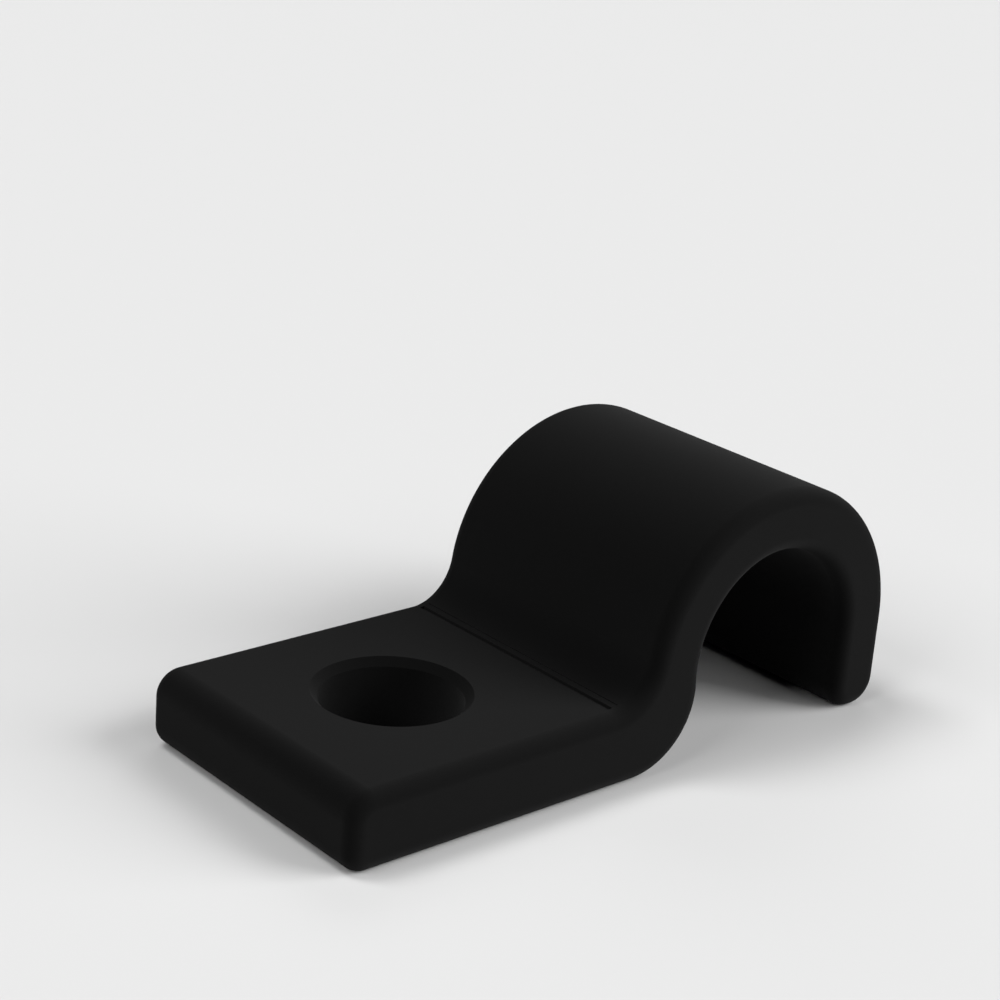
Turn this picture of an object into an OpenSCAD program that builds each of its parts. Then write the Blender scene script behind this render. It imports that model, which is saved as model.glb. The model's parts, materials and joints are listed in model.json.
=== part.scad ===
// Screw-on clip that holds one coaxial cable against a wall, moulded as one strap.
// A flat tab with a screw hole runs through a bend into an arch over the cable and ends in a short leg.
// Origin: the axis of the screw hole in the plane of the wall.
// +X points from the hole to the cable, +Y runs along the cable, +Z points away from the wall.

/* [Cable] */
// Outer diameter of the cable
cable_d = 6.2; // [4:0.1:11]
// Room between the cable and the arch, on the diameter
cable_room = 0.2; // [0:0.05:0.6]
// How much lower than wide the channel is, so that the cable has little play between arch and wall
cable_grip = 0.15; // [0:0.05:0.5]

/* [Strap] */
// Width of the clip along the cable
clip_w = 10; // [7:0.5:20]
// Thickness of the arch and the leg
wall_t = 2; // [1.4:0.1:4]
// Thickness of the tab
tab_t = 2.45; // [1.6:0.05:5]

/* [Tab] */
// Diameter of the screw
screw_d = 4; // [2.5:0.1:5]
// Room around the screw, on the diameter
screw_room = 0.4; // [0.1:0.05:0.8]
// From the axis of the hole to the end of the tab
hole_to_end = 5.2; // [4:0.1:12]
// From the axis of the hole to where the bend begins
hole_to_bend = 4.55; // [3.5:0.05:12]

/* [Bend] */
// Radius of the hollow above the bend, between tab and arch
bend_r = 1.5; // [0.8:0.1:3]
// Radius of the heel below the bend, between tab and channel
heel_r = 2.5; // [1.2:0.1:4]

/* [Roundings] */
// Radius at the top of the tab's end
end_top_r = 0.85; // [0.5:0.05:1.5]
// Radius at the bottom of the tab's end
end_bottom_r = 0.7; // [0.5:0.05:1.5]
// Radius of the two corners at the end of the leg
foot_r = 0.95; // [0.5:0.05:1.5]
// Narrowest flat left between two rounded corners of the profile
corner_land = 0.1; // [0.05:0.05:0.4]
// Radius along the two sides of the strap
edge_r = 0.5; // [0.1:0.05:0.6]
// Radius of the upper rim of the screw hole
rim_r = 0.25; // [0.1:0.05:0.8]

/* [Hidden] */
$fn = 96;

// Reach of a cutter past the surface that it cuts
over = 0.2;
// Round step in which a point is approached
round_step = 0.01;
// Largest share of a corner of the profile that the rounding of the sides may take
edge_share = 0.9;

hole_r = (screw_d + screw_room) / 2;
channel_r = (cable_d + cable_room) / 2;
arch_r = channel_r + wall_t;

// Roundings, held back where a wall is too thin for them
end_fit = min(1, (tab_t - corner_land) / (end_top_r + end_bottom_r));
end_top = end_top_r * end_fit;
end_bottom = end_bottom_r * end_fit;
foot = min(foot_r, (wall_t - corner_land) / 2);
edge = min(edge_r, edge_share * min(end_top, end_bottom, foot));

// The profile is drawn in the XY plane, with the wall along its X axis, and is stood up at the end.
// Bend and heel each touch a face of the tab and a circle of the arch.
axis_h = channel_r - cable_grip;
bend_rise = tab_t + bend_r - axis_h;
heel_rise = heel_r - axis_h;
axis_x = hole_to_bend + sqrt(pow(arch_r + bend_r, 2) - pow(bend_rise, 2));
axis_c = [axis_x, axis_h];
bend_c = [hole_to_bend, tab_t + bend_r];
heel_c = [axis_x - sqrt(pow(channel_r + heel_r, 2) - pow(heel_rise, 2)), heel_r];

// Moves to a point in a round step and a fine one, so that arcs which touch do so exactly
module at(p) {
    step = [for (v = p) round(v / round_step) * round_step];
    translate(step) translate(p - step) children();
}

// What rounds off a square corner at the origin, between the +X and +Y directions, to radius r
module corner_waste(r) {
    difference() {
        translate([-over, -over]) square(r + over);
        translate([r, r]) circle(r);
    }
}

// Part of the profile below the line from the point c to the axis of the cable
module below_line(c) {
    polygon([[c.x, -arch_r], c, axis_c, [axis_x, -arch_r]]);
}

// Tab, and the web between tab and arch, before the bend is hollowed
module tab_outline() {
    polygon([
        [-hole_to_end, 0], [axis_x, 0], axis_c, bend_c,
        [hole_to_bend, tab_t], [-hole_to_end, tab_t],
    ]);
}

// Everything that the strap leaves free below its arch and heel, as far as the wall and past it
module channel_outline() {
    at(axis_c) circle(channel_r);
    at([axis_x, -over]) square([channel_r, axis_h + over]);
    difference() {
        below_line(heel_c);
        at(heel_c) circle(heel_r);
    }
    translate([-hole_to_end, -arch_r]) square([hole_to_end + axis_x + arch_r, arch_r]);
}

module strap_outline() {
    difference() {
        union() {
            tab_outline();
            at(axis_c) circle(arch_r);
            at([axis_x, 0]) square([arch_r, axis_h]);
        }
        at(bend_c) circle(bend_r);
        channel_outline();
        translate([-hole_to_end, 0]) corner_waste(end_bottom);
        translate([-hole_to_end, tab_t]) mirror([0, 1]) corner_waste(end_top);
        at([axis_x, 0]) {
            translate([channel_r, 0]) corner_waste(foot);
            translate([arch_r, 0]) mirror([1, 0]) corner_waste(foot);
        }
    }
}

// What rounds off a straight edge that runs from the point p in direction a, with the material on its left
module side_waste(p, a, length) {
    translate(p) rotate([0, 0, a]) rotate([90, 0, 90])
        linear_extrude(length) corner_waste(edge);
}

// The same round a circle of radius r with the material inside it, from direction a on
module outer_waste(r, a, sweep) {
    rotate([0, 0, a]) rotate_extrude(angle = sweep)
        translate([r, 0]) mirror([1, 0]) corner_waste(edge);
}

// The same round a circle of radius r with the material outside it.
// It may run on past an outer arc that the circle touches, because it lies clear of the strap there.
module inner_waste(r, a, sweep) {
    rotate([0, 0, a]) rotate_extrude(angle = sweep)
        translate([r, 0]) corner_waste(edge);
}

// Block in which the edge follows the bend or the heel, whose centre is c
module below_block(c) {
    linear_extrude(2 * clip_w, center = true) below_line(c);
}

module tab_edge_waste() {
    side_waste([hole_to_bend, tab_t], 180, hole_to_bend + hole_to_end - end_top);
    translate([end_top - hole_to_end, tab_t - end_top]) outer_waste(end_top, 90, 90);
    side_waste([-hole_to_end, tab_t - end_top], -90, tab_t - end_top - end_bottom);
    translate([end_bottom - hole_to_end, end_bottom]) outer_waste(end_bottom, 180, 90);
}

// Lower edge, from the underside of the tab over the heel into the channel
module lower_edge_waste() {
    difference() {
        side_waste([end_bottom - hole_to_end, 0], 0, axis_x + hole_to_end - end_bottom);
        below_block(heel_c);
    }
    at(axis_c) inner_waste(channel_r, 0, 270);
    intersection() {
        at(heel_c) outer_waste(heel_r, -90, 180);
        below_block(heel_c);
    }
}

// Upper edge, from the bend over the arch
module upper_edge_waste() {
    at(bend_c) inner_waste(bend_r, -90, 180);
    difference() {
        at(axis_c) outer_waste(arch_r, 0, 270);
        below_block(bend_c);
    }
}

module leg_edge_waste() {
    at([axis_x, 0]) {
        side_waste([channel_r, axis_h], -90, axis_h - foot);
        translate([channel_r + foot, foot]) outer_waste(foot, 180, 90);
        side_waste([channel_r + foot, 0], 0, wall_t - 2 * foot);
        translate([arch_r - foot, foot]) outer_waste(foot, 270, 90);
        side_waste([arch_r, foot], 90, axis_h - foot);
    }
}

// The strap on its side, with both side edges rounded all the way round
module strap() {
    difference() {
        linear_extrude(clip_w, center = true) strap_outline();
        for (side = [0, 1])
            mirror([0, 0, side]) translate([0, 0, -clip_w / 2]) {
                tab_edge_waste();
                lower_edge_waste();
                upper_edge_waste();
                leg_edge_waste();
            }
    }
}

// Plain through hole with its upper rim rounded
module screw_hole() {
    translate([0, 0, -over]) cylinder(r = hole_r, h = tab_t + 2 * over);
    rotate_extrude() translate([hole_r, tab_t]) mirror([0, 1]) corner_waste(rim_r);
}

module cable_clip() {
    color("#1b1b1c")
        difference() {
            rotate([90, 0, 0]) strap();
            screw_hole();
        }
}

cable_clip();
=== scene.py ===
# Coaxial cable clip: a moulded strap with a screw tab and an arch over the cable, lying on a pale floor.
import json
import math

import bpy
from mathutils import Matrix, Vector


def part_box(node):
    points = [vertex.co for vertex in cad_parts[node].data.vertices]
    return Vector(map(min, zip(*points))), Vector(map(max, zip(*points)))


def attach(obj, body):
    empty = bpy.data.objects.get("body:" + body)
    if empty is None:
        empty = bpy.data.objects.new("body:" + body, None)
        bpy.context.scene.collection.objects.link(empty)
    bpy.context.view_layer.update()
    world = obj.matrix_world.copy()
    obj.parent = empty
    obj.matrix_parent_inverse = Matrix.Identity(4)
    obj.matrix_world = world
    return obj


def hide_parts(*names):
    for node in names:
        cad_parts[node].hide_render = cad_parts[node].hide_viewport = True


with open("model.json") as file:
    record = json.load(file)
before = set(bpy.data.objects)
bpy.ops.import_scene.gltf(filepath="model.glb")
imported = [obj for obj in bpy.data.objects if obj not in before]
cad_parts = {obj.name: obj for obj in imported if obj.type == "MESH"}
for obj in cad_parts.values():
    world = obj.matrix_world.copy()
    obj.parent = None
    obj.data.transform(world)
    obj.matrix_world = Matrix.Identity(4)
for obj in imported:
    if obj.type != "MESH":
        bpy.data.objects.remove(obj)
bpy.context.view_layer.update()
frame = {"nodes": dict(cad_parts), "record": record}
mm = 0.001  # the frame is in metres, the sizes below are in millimetres
mounts = {mount["name"]: mount for mount in frame["record"]["mounts"]}
clipLow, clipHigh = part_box("cable_clip")
print("frame loaded:", sorted(frame["nodes"]))


def linear(hexColour):
    # sRGB hex to the linear colour that the shaders take
    parts = [int(hexColour[i:i + 2], 16) / 255 for i in (1, 3, 5)]
    return [c / 12.92 if c <= 0.04045 else ((c + 0.055) / 1.055) ** 2.4 for c in parts] + [1.0]


def addNode(tree, kind, settings=None, inputs=None):
    # adds a node; an input takes a value, or another node's output to link
    node = tree.nodes.new(kind)
    for name, value in (settings or {}).items():
        setattr(node, name, value)
    for name, value in (inputs or {}).items():
        if isinstance(value, bpy.types.NodeSocket):
            tree.links.new(value, node.inputs[name])
        else:
            node.inputs[name].default_value = value
    return node


# Black polypropylene, moulded against a fine spark-eroded tool: deep black, dull, with hardly any gloss
plastic = {
    "colour": "#030303",
    "ior": 1.49,
    "specular": 0.015,        # the finish scatters most of the gloss away
    "roughness": 0.95,
    "roughSpread": 0.05,      # how much duller or shinier the skin is from place to place
    "sheen": 0.03,            # the grain catches a little light where the skin is seen at a low angle
    "sheenRoughness": 0.7,
    "flowSize": 3.5,          # mm, patches in the skin from the way the melt ran
    "flowDetail": 2.0,
    "flowRange": (0.3, 0.7),  # values of the flow noise that give the least and the most roughness
    "grainSize": 0.14,        # mm; the real grain is about 0.03, too fine to show
    "grainDetail": 3.0,
    "grainRoughness": 0.6,
    "grainHeight": 0.002,     # mm
}


def plasticMaterial(look):
    material = bpy.data.materials.new("black_moulded_polypropylene")
    material.use_nodes = True
    tree = material.node_tree
    tree.nodes.clear()
    place = addNode(tree, "ShaderNodeTexCoord").outputs["Object"]
    flow = addNode(tree, "ShaderNodeTexNoise", {}, {
        "Vector": place, "Scale": 1 / (look["flowSize"] * mm), "Detail": look["flowDetail"]})
    rough = addNode(tree, "ShaderNodeMapRange", {}, {
        "Value": flow.outputs["Fac"],
        "From Min": look["flowRange"][0], "From Max": look["flowRange"][1],
        "To Min": look["roughness"] - look["roughSpread"],
        "To Max": look["roughness"] + look["roughSpread"]})
    grain = addNode(tree, "ShaderNodeTexNoise", {}, {
        "Vector": place, "Scale": 1 / (look["grainSize"] * mm),
        "Detail": look["grainDetail"], "Roughness": look["grainRoughness"]})
    bump = addNode(tree, "ShaderNodeBump", {}, {
        "Height": grain.outputs["Fac"], "Distance": look["grainHeight"] * mm, "Strength": 1.0})
    shader = addNode(tree, "ShaderNodeBsdfPrincipled", {}, {
        "Base Color": linear(look["colour"]), "IOR": look["ior"], "Specular IOR Level": look["specular"],
        "Roughness": rough.outputs["Result"], "Sheen Weight": look["sheen"],
        "Sheen Roughness": look["sheenRoughness"], "Normal": bump.outputs["Normal"]})
    addNode(tree, "ShaderNodeOutputMaterial", {}, {"Surface": shader.outputs["BSDF"]})
    print("plastic mixed:", material.name)
    return material


# The strap: one outline of straight runs and arcs, drawn across the cable and carried over the clip's width
strap = {
    "tabThickness": 2.45,  # mm, as are all lengths below
    "bendRadius": 1.5,     # hollow above, between tab and arch
    "heelRadius": 2.5,     # rounding below, between tab and channel
    "endTopRadius": 0.85,
    "endBottomRadius": 0.7,
    "footRadius": 0.95,
    "edgeRadius": 0.5,     # along both sides of the strap
    "rimBevel": 0.25,      # upper rim of the screw hole
    "edgeHold": 0.04,      # narrow strip that keeps the flat sides flat in the shading
    # fine lines that the mould left across the bend: place past the start of the bend, width, depth
    "lines": [(0.16, 0.16, 0.09), (0.43, 0.05, 0.03)],
    "lineShort": 0.05,     # the lines stop this far before the rounding of the sides
    "cornerSteps": 40,
    "edgeSteps": 12,
    "holeSteps": 160,
    "flatWeight": 100,     # of 100: next to a rounding, the shading follows the large flat face
}

# allowances of the mesh, which don't show
weldGap = 0.0008 * mm         # points closer than this are made one
plugOver = 0.5 * mm           # the hole's plug stands out this far above and below the tab
lineOver = 0.4 * mm           # height of the bars that cut the fine lines
crispFold = math.radians(30)  # an edge that folds more than this is shaded crisp


def outlineCorners(size):
    # each corner is where two straight runs, or the tangents of two arcs, would meet: x, height and radius;
    # also gives where the bend begins
    cable = mounts["cable_channel"]
    axis = Vector((cable["pos_m"][0], cable["pos_m"][2])) / mm
    channelRadius = cable["dims"]["r_mm"]
    end, toe = clipLow.x / mm, clipHigh.x / mm
    archRadius = toe - axis.x
    tab = size["tabThickness"]

    def touchCentre(radius, height):
        # centre of an arc at that height, on the tab's side, which touches a circle round the cable axis
        rise = height - axis.y
        return Vector((axis.x - math.sqrt(radius ** 2 - rise ** 2), height))

    def onTangent(centre, radius, height):
        # where the tangent that both arcs share reaches a height
        spoke = (centre - axis).normalized()
        touch = axis + spoke * radius
        along = Vector((-spoke.y, spoke.x))
        return touch.x + along.x * (height - touch.y) / along.y

    bend, heel = size["bendRadius"], size["heelRadius"]
    bendCentre = touchCentre(archRadius + bend, tab + bend)
    heelCentre = touchCentre(channelRadius + heel, heel)
    crown, roof = axis.y + archRadius, axis.y + channelRadius
    return bendCentre.x, [
        (end, 0, size["endBottomRadius"]),
        (onTangent(heelCentre, channelRadius, 0), 0, heel),
        (onTangent(heelCentre, channelRadius, roof), roof, channelRadius),
        (axis.x + channelRadius, roof, channelRadius),
        (axis.x + channelRadius, 0, size["footRadius"]),
        (toe, 0, size["footRadius"]),
        (toe, crown, archRadius),
        (onTangent(bendCentre, archRadius, crown), crown, archRadius),
        (onTangent(bendCentre, archRadius, tab), tab, bend),
        (end, tab, size["endTopRadius"]),
    ]


def outlineCurve(corners):
    # the square outline, with the radius of each corner kept as the radius of its point
    curve = bpy.data.curves.new("strap_outline", "CURVE")
    curve.dimensions = "3D"
    spline = curve.splines.new("POLY")
    spline.points.add(len(corners) - 1)
    for point, (x, height, radius) in zip(spline.points, corners):
        point.co = (x * mm, height * mm, 0, 1)
        point.radius = radius * mm
    spline.use_cyclic_u = True
    outline = bpy.data.objects.new("strap_outline", curve)
    bpy.context.collection.objects.link(outline)
    return outline


def addSkin(tree, given, low, high):
    # outline with its corners rounded, then points that fall together where two arcs touch made one
    radius = addNode(tree, "GeometryNodeInputRadius")
    rounded = addNode(tree, "GeometryNodeFilletCurve", {"mode": "POLY"}, {
        "Curve": given["Geometry"], "Count": given["Corner Steps"], "Radius": radius.outputs["Radius"]})
    loop = addNode(tree, "GeometryNodeCurveToMesh", {}, {"Curve": rounded.outputs["Curve"]})
    welded = addNode(tree, "GeometryNodeMergeByDistance", {}, {
        "Geometry": loop.outputs["Mesh"], "Distance": weldGap})
    path = addNode(tree, "GeometryNodeMeshToCurve", {}, {"Mesh": welded.outputs["Geometry"]})
    even = addNode(tree, "GeometryNodeSetCurveRadius", {}, {
        "Curve": path.outputs["Curve"], "Radius": 1.0})  # other radii would scale the section

    # section across the strap: an open rectangle whose two outer corners are rounded
    depth = addNode(tree, "ShaderNodeMath", {"operation": "ADD"}, {
        0: given["Edge Radius"], 1: given["Edge Hold"]})
    inner = addNode(tree, "ShaderNodeMath", {"operation": "MULTIPLY"}, {0: depth.outputs[0], 1: -1.0})
    ends = {}
    for name, x, y in (("Point 1", inner.outputs[0], low), ("Point 2", 0.0, low),
                       ("Point 3", 0.0, high), ("Point 4", inner.outputs[0], high)):
        ends[name] = addNode(tree, "ShaderNodeCombineXYZ", {}, {"X": x, "Y": y}).outputs["Vector"]
    sectionLine = addNode(tree, "GeometryNodeCurvePrimitiveQuadrilateral", {"mode": "POINTS"}, ends)
    opened = addNode(tree, "GeometryNodeSetSplineCyclic", {}, {
        "Geometry": sectionLine.outputs["Curve"], "Cyclic": False})
    section = addNode(tree, "GeometryNodeFilletCurve", {"mode": "POLY"}, {
        "Curve": opened.outputs["Geometry"], "Count": given["Edge Steps"], "Radius": given["Edge Radius"]})
    skin = addNode(tree, "GeometryNodeCurveToMesh", {}, {
        "Curve": even.outputs["Curve"], "Profile Curve": section.outputs["Curve"]})
    return skin.outputs["Mesh"]


def addSides(tree, skin, low, high):
    # two flat sides, filled inside the open rim of the skin; the strap is then stood up
    faces = addNode(tree, "GeometryNodeInputMeshEdgeNeighbors")
    openRim = addNode(tree, "FunctionNodeCompare", {"data_type": "INT", "operation": "EQUAL"}, {
        2: faces.outputs["Face Count"], 3: 1})
    place = addNode(tree, "GeometryNodeInputPosition")
    level = addNode(tree, "ShaderNodeSeparateXYZ", {}, {"Vector": place.outputs["Position"]})
    upperHalf = addNode(tree, "FunctionNodeCompare", {"data_type": "FLOAT", "operation": "GREATER_THAN"}, {
        0: level.outputs["Z"], 1: 0.0})
    upperRim = addNode(tree, "FunctionNodeBooleanMath", {"operation": "AND"}, {
        0: openRim.outputs["Result"], 1: upperHalf.outputs["Result"]})
    rim = addNode(tree, "GeometryNodeMeshToCurve", {}, {
        "Mesh": skin, "Selection": upperRim.outputs["Boolean"]})
    side = addNode(tree, "GeometryNodeFillCurve", {"mode": "NGONS"}, {"Curve": rim.outputs["Curve"]})
    turned = addNode(tree, "GeometryNodeFlipFaces", {}, {"Mesh": side.outputs["Mesh"]})
    shell = addNode(tree, "GeometryNodeJoinGeometry")
    tree.links.new(skin, shell.inputs["Geometry"])
    for flat, height in ((side.outputs["Mesh"], high), (turned.outputs["Mesh"], low)):
        lift = addNode(tree, "ShaderNodeCombineXYZ", {}, {"Z": height})
        placed = addNode(tree, "GeometryNodeTransform", {}, {
            "Geometry": flat, "Translation": lift.outputs["Vector"]})
        tree.links.new(placed.outputs["Geometry"], shell.inputs["Geometry"])
    closed = addNode(tree, "GeometryNodeMergeByDistance", {}, {
        "Geometry": shell.outputs["Geometry"], "Distance": weldGap})
    stood = addNode(tree, "GeometryNodeTransform", {}, {
        "Geometry": closed.outputs["Geometry"], "Rotation": (math.radians(90), 0, 0)})
    return stood.outputs["Geometry"]


def addHolePlug(tree, given):
    # a plug turned from a line that widens over the bevelled rim; the line is drawn with its y axis down
    circle = addNode(tree, "GeometryNodeCurvePrimitiveCircle", {}, {
        "Resolution": given["Hole Steps"], "Radius": given["Hole Radius"]})
    tabTop = addNode(tree, "ShaderNodeMath", {"operation": "MULTIPLY"}, {
        0: given["Tab Thickness"], 1: -1.0})
    above = addNode(tree, "ShaderNodeMath", {"operation": "SUBTRACT"}, {0: tabTop.outputs[0], 1: plugOver})
    bevelFoot = addNode(tree, "ShaderNodeMath", {"operation": "ADD"}, {
        0: tabTop.outputs[0], 1: given["Rim Bevel"]})
    turns = {}
    for name, x, y in (("Point 1", given["Rim Bevel"], above.outputs[0]),
                       ("Point 2", given["Rim Bevel"], tabTop.outputs[0]),
                       ("Point 3", 0.0, bevelFoot.outputs[0]), ("Point 4", 0.0, plugOver)):
        turns[name] = addNode(tree, "ShaderNodeCombineXYZ", {}, {"X": x, "Y": y}).outputs["Vector"]
    plugLine = addNode(tree, "GeometryNodeCurvePrimitiveQuadrilateral", {"mode": "POINTS"}, turns)
    opened = addNode(tree, "GeometryNodeSetSplineCyclic", {}, {
        "Geometry": plugLine.outputs["Curve"], "Cyclic": False})
    tube = addNode(tree, "GeometryNodeCurveToMesh", {}, {
        "Curve": circle.outputs["Curve"], "Profile Curve": opened.outputs["Geometry"]})

    # two discs close it, the lower one turned to face down
    wide = addNode(tree, "ShaderNodeMath", {"operation": "ADD"}, {
        0: given["Hole Radius"], 1: given["Rim Bevel"]})
    top = addNode(tree, "ShaderNodeMath", {"operation": "ADD"}, {0: given["Tab Thickness"], 1: plugOver})
    plug = addNode(tree, "GeometryNodeJoinGeometry")
    tree.links.new(tube.outputs["Mesh"], plug.inputs["Geometry"])
    for reach, level, turn in ((given["Hole Radius"], -plugOver, math.pi),
                               (wide.outputs[0], top.outputs[0], 0)):
        disc = addNode(tree, "GeometryNodeMeshCircle", {"fill_type": "NGON"}, {
            "Vertices": given["Hole Steps"], "Radius": reach})
        lift = addNode(tree, "ShaderNodeCombineXYZ", {}, {"Z": level})
        lid = addNode(tree, "GeometryNodeTransform", {}, {
            "Geometry": disc.outputs["Mesh"], "Translation": lift.outputs["Vector"],
            "Rotation": (turn, 0, 0)})
        tree.links.new(lid.outputs["Geometry"], plug.inputs["Geometry"])
    whole = addNode(tree, "GeometryNodeMergeByDistance", {}, {
        "Geometry": plug.outputs["Geometry"], "Distance": weldGap})
    return whole.outputs["Geometry"]


def addLineBar(tree, given, name):
    # a thin bar for a line across the bend, standing on the floor of the line
    measure = addNode(tree, "ShaderNodeCombineXYZ", {}, {
        "X": given[name + " Width"], "Y": given["Line Length"], "Z": lineOver})
    block = addNode(tree, "GeometryNodeMeshCube", {}, {"Size": measure.outputs["Vector"]})
    middle = addNode(tree, "ShaderNodeMath", {"operation": "ADD"}, {
        0: given[name + " Floor"], 1: lineOver / 2})
    spot = addNode(tree, "ShaderNodeCombineXYZ", {}, {
        "X": given[name + " Place"], "Z": middle.outputs[0]})
    bar = addNode(tree, "GeometryNodeTransform", {}, {
        "Geometry": block.outputs["Mesh"], "Translation": spot.outputs["Vector"]})
    return bar.outputs["Geometry"]


def strapTree(lineCount):
    tree = bpy.data.node_groups.new("strapFromOutline", "GeometryNodeTree")
    tree.interface.new_socket("Geometry", in_out="INPUT", socket_type="NodeSocketGeometry")
    tree.interface.new_socket("Geometry", in_out="OUTPUT", socket_type="NodeSocketGeometry")
    for name, kind in (("Width", "Float"), ("Edge Radius", "Float"), ("Edge Hold", "Float"),
                       ("Tab Thickness", "Float"), ("Hole Radius", "Float"), ("Rim Bevel", "Float"),
                       ("Corner Steps", "Int"), ("Edge Steps", "Int"), ("Hole Steps", "Int"),
                       ("Line Length", "Float"), ("Material", "Material")):
        tree.interface.new_socket(name, in_out="INPUT", socket_type="NodeSocket" + kind)
    lineNames = [f"Line {k}" for k in range(1, lineCount + 1)]
    for name in lineNames:
        for what in ("Place", "Width", "Floor"):
            tree.interface.new_socket(f"{name} {what}", in_out="INPUT", socket_type="NodeSocketFloat")
    given = addNode(tree, "NodeGroupInput").outputs

    # the strap is grown lying on its side, half its width above z = 0 and half below
    high = addNode(tree, "ShaderNodeMath", {"operation": "MULTIPLY"}, {0: given["Width"], 1: 0.5}).outputs[0]
    low = addNode(tree, "ShaderNodeMath", {"operation": "MULTIPLY"}, {0: given["Width"], 1: -0.5}).outputs[0]
    skin = addSkin(tree, given, low, high)
    body = addSides(tree, skin, low, high)

    # screw hole and fine lines
    cutters = addNode(tree, "GeometryNodeJoinGeometry")
    tree.links.new(addHolePlug(tree, given), cutters.inputs["Geometry"])
    for name in lineNames:
        tree.links.new(addLineBar(tree, given, name), cutters.inputs["Geometry"])
    drilled = addNode(tree, "GeometryNodeMeshBoolean", {"operation": "DIFFERENCE", "solver": "EXACT"}, {
        "Mesh 1": body, "Mesh 2": cutters.outputs["Geometry"]})

    # smooth all over, apart from the rims of the hole and the fine lines
    smooth = addNode(tree, "GeometryNodeSetShadeSmooth", {}, {"Geometry": drilled.outputs["Mesh"]})
    fold = addNode(tree, "GeometryNodeInputMeshEdgeAngle")
    sharp = addNode(tree, "FunctionNodeCompare", {"data_type": "FLOAT", "operation": "GREATER_THAN"}, {
        0: fold.outputs["Unsigned Angle"], 1: crispFold})
    crisp = addNode(tree, "GeometryNodeSetShadeSmooth", {"domain": "EDGE"}, {
        "Geometry": smooth.outputs["Geometry"], "Selection": sharp.outputs["Result"],
        "Shade Smooth": False})
    whole = addNode(tree, "GeometryNodeRealizeInstances", {}, {"Geometry": crisp.outputs["Geometry"]})
    finished = addNode(tree, "GeometryNodeSetMaterial", {}, {
        "Geometry": whole.outputs["Geometry"], "Material": given["Material"]})
    addNode(tree, "NodeGroupOutput", {}, {"Geometry": finished.outputs["Geometry"]})
    return tree


def treeValues(size, bendStart, material):
    # what the tree's inputs are set to, by name
    clipWidth = clipHigh.y - clipLow.y
    values = {
        "Width": clipWidth,
        "Edge Radius": size["edgeRadius"] * mm,
        "Edge Hold": size["edgeHold"] * mm,
        "Tab Thickness": size["tabThickness"] * mm,
        "Hole Radius": mounts["screw_hole"]["dims"]["r_mm"] * mm,
        "Rim Bevel": size["rimBevel"] * mm,
        "Corner Steps": size["cornerSteps"],
        "Edge Steps": size["edgeSteps"],
        "Hole Steps": size["holeSteps"],
        "Line Length": clipWidth - 2 * (size["edgeRadius"] + size["lineShort"]) * mm,
        "Material": material,
    }
    bend = size["bendRadius"]
    for k, (reach, width, depth) in enumerate(size["lines"], 1):
        surface = size["tabThickness"] + bend - math.sqrt(bend ** 2 - reach ** 2)
        values[f"Line {k} Place"] = (bendStart + reach) * mm
        values[f"Line {k} Width"] = width * mm
        values[f"Line {k} Floor"] = (surface - depth) * mm
    return values


def plainMesh(piece):
    # the piece with its modifiers worked in, as a mesh of its own
    bpy.context.view_layer.update()
    depsgraph = bpy.context.evaluated_depsgraph_get()
    return bpy.data.meshes.new_from_object(piece.evaluated_get(depsgraph), depsgraph=depsgraph)


def makeClip(size, material):
    bendStart, corners = outlineCorners(size)
    outline = outlineCurve(corners)
    tree = strapTree(len(size["lines"]))
    values = treeValues(size, bendStart, material)
    grow = outline.modifiers.new("strap", "NODES")
    grow.node_group = tree
    for item in tree.interface.items_tree:
        if item.in_out == "INPUT" and item.name in values:
            grow[item.identifier] = values[item.name]
    clip = bpy.data.objects.new("cable_clip_body", plainMesh(outline))
    bpy.context.collection.objects.link(clip)
    bpy.data.objects.remove(outline)
    flatRuns = clip.modifiers.new("flat runs", "WEIGHTED_NORMAL")
    flatRuns.weight = size["flatWeight"]
    flatRuns.keep_sharp = True
    clip.data = plainMesh(clip)
    clip.modifiers.clear()
    clip.data.materials.pop(index=0)  # the empty slot that the drilling leaves
    print("clip made:", len(clip.data.vertices), "vertices,", len(clip.data.polygons), "faces")
    return clip


clip = makeClip(strap, plasticMaterial(plastic))
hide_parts("cable_clip")
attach(clip, "root")


# Sheet of pale uncoated paper: an even light grey without any shine
floor = {
    "colour": "#cbcbcb",
    "backdrop": "#ebebeb",  # as light as the floor looks under the soft boxes
    "width": 2000.0,        # mm
}


def makeFloor(look):
    material = bpy.data.materials.new("pale_paper_sweep")
    material.use_nodes = True
    shader = material.node_tree.nodes["Principled BSDF"]
    shader.inputs["Base Color"].default_value = linear(look["colour"])
    shader.inputs["Roughness"].default_value = 1.0
    shader.inputs["Specular IOR Level"].default_value = 0.0
    half = look["width"] * mm / 2
    corners = [(-half, -half, 0), (half, -half, 0), (half, half, 0), (-half, half, 0)]
    mesh = bpy.data.meshes.new("floor")
    mesh.from_pydata(corners, [], [(0, 1, 2, 3)])
    mesh.materials.append(material)
    sheet = bpy.data.objects.new("floor", mesh)
    bpy.context.collection.objects.link(sheet)
    return sheet


makeFloor(floor)
print("floor laid")


def makeBackdrop(colour):
    # what is seen past the edge of the floor in low views; it sheds no light
    world = bpy.data.worlds.new("studio")
    world.use_nodes = True
    seen = addNode(world.node_tree, "ShaderNodeLightPath").outputs["Is Camera Ray"]
    backdrop = world.node_tree.nodes["Background"]
    backdrop.inputs["Color"].default_value = linear(colour)
    world.node_tree.links.new(seen, backdrop.inputs["Strength"])
    bpy.context.scene.world = world
    print("backdrop hung")


makeBackdrop(floor["backdrop"])

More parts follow.
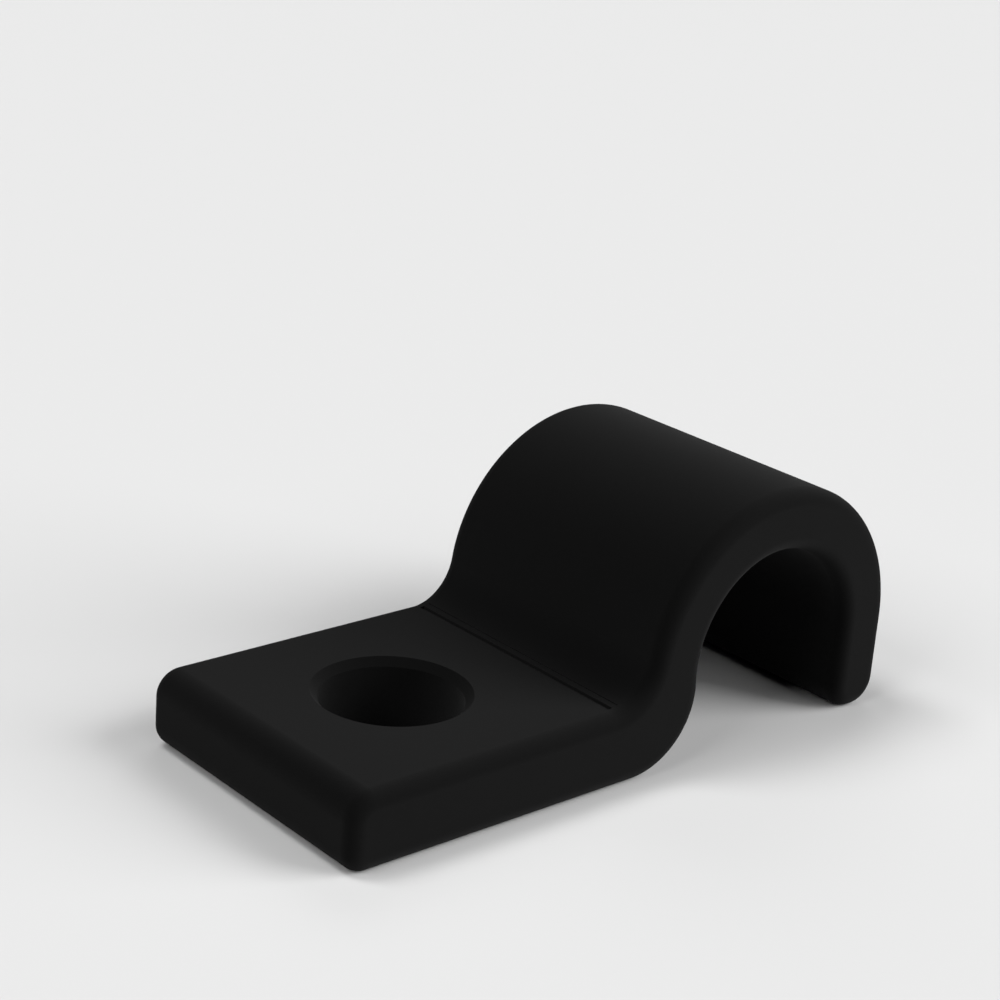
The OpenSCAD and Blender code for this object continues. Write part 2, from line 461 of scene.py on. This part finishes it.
# Soft boxes round the clip
studio = {
    "aim": (5.5, 0.0, 2.0),  # mm, the middle of the clip
    "distance": 6.0,         # m
    # bearing from +X towards +Y and height above the floor in degrees, width and height in metres, radiance
    "boxes": {
        "right_low": (315, 12, 4.2, 2.7, 8.7),
        "right": (315, 38, 3.6, 2.7, 7.3),
        "back": (45, 38, 3.6, 2.7, 1.9),
        "front_left": (180, 38, 3.6, 2.7, 5.1),
        "front_right": (270, 38, 3.6, 2.7, 2.2),
        "left_high": (135, 65, 2.0, 2.7, 10.6),
    },
}


def makeLamps(look):
    aim = Vector(look["aim"]) * mm
    for name, (bearing, height, across, tall, radiance) in look["boxes"].items():
        data = bpy.data.lights.new(name, "AREA")
        data.shape = "RECTANGLE"
        data.size, data.size_y = across, tall
        data.energy = math.pi * across * tall * radiance
        lamp = bpy.data.objects.new(name, data)
        turn, rise = math.radians(bearing), math.radians(height)
        way = Vector((math.cos(turn) * math.cos(rise), math.sin(turn) * math.cos(rise), math.sin(rise)))
        lamp.location = aim + way * look["distance"]
        lamp.rotation_euler = (-way).to_track_quat("-Z", "Y").to_euler()
        lamp.visible_camera = False
        bpy.context.collection.objects.link(lamp)
    print("soft boxes set:", len(look["boxes"]))


makeLamps(studio)

view = {
    "place": (-39.15, -47.5, 31.2),  # mm, in the clip's frame
    "heading": 42.06,  # degrees from +Y towards +X
    "pitch": 20.11,    # degrees below level
    "roll": 4.408,     # degrees
    "lens": 82.3,      # mm
    "sensor": 36.0,    # mm
    "nearest": 1.0,    # mm, anything closer isn't drawn
}


def makeCamera(look):
    data = bpy.data.cameras.new("camera")
    data.lens, data.sensor_width = look["lens"], look["sensor"]
    data.clip_start = look["nearest"] * mm
    camera = bpy.data.objects.new("camera", data)
    turn = (Matrix.Rotation(-math.radians(look["heading"]), 4, "Z")
            @ Matrix.Rotation(math.radians(90 - look["pitch"]), 4, "X")
            @ Matrix.Rotation(math.radians(look["roll"]), 4, "Z"))
    camera.matrix_world = Matrix.Translation(Vector(look["place"]) * mm) @ turn
    bpy.context.collection.objects.link(camera)
    bpy.context.scene.camera = camera
    print("camera placed")


makeCamera(view)
bpy.context.scene.view_settings.view_transform = "Standard"  # tones as they fall, without a film curve
